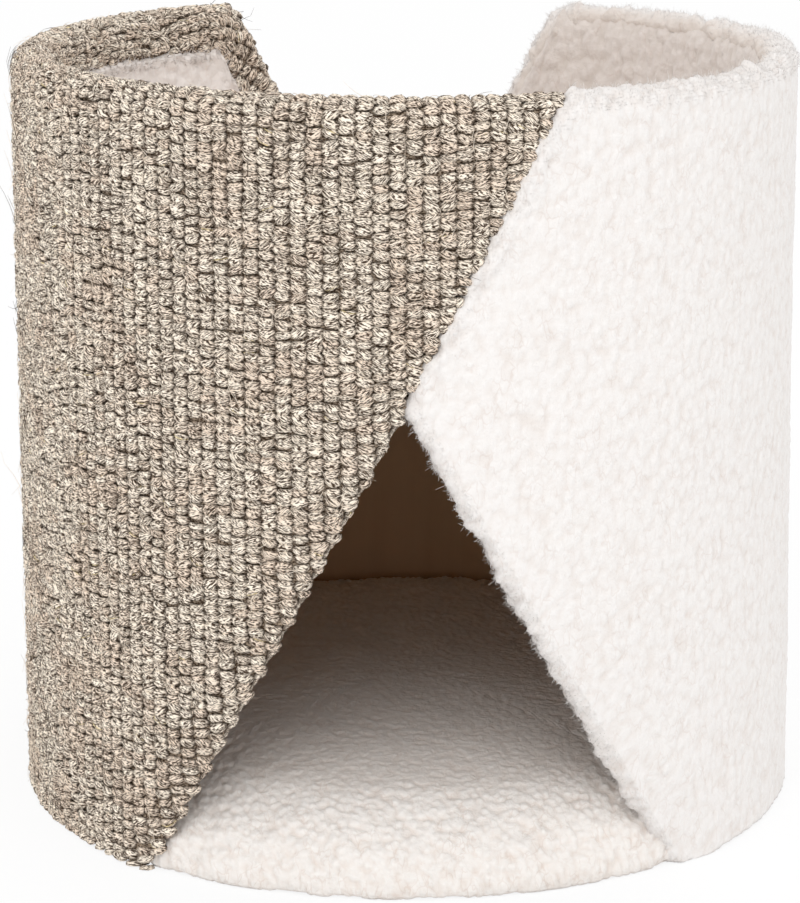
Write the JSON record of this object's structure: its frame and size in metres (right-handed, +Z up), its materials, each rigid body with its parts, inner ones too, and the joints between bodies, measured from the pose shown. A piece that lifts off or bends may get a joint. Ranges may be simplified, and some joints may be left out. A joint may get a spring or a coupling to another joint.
{
  "type": "cat condo",
  "caption": "Round cat condo: board drum covered in looped sisal and curly plush, with a padded den behind a triangular entrance and an open lying tub with a rear notch on top.",
  "frame": {"origin": "on the floor, at the drum's axis", "axes": "+Z up along the drum's axis, the den's entrance towards -Y, the plush side towards +X"},
  "size_m": [0.38, 0.38, 0.368],
  "materials": {
    "wall_board": "matte",
    "chipboard": "matte",
    "felt": "matte",
    "sisal": "matte",
    "plush": "matte",
    "foam": "matte",
    "screw_steel": "satin"
  },
  "bodies": {
    "root": {"wall_board": "wall_board", "base_board": "chipboard", "platform_board": "chipboard", "underside_felt": "felt", "sisal_cover": "sisal", "plush_cover": "plush", "tub_lining": "plush", "den_foam": "foam", "den_plush": "plush", "tub_foam": "foam", "tub_plush": "plush", "platform_screws": "screw_steel", "base_screws": "screw_steel"}
  },
  "joints": []
}
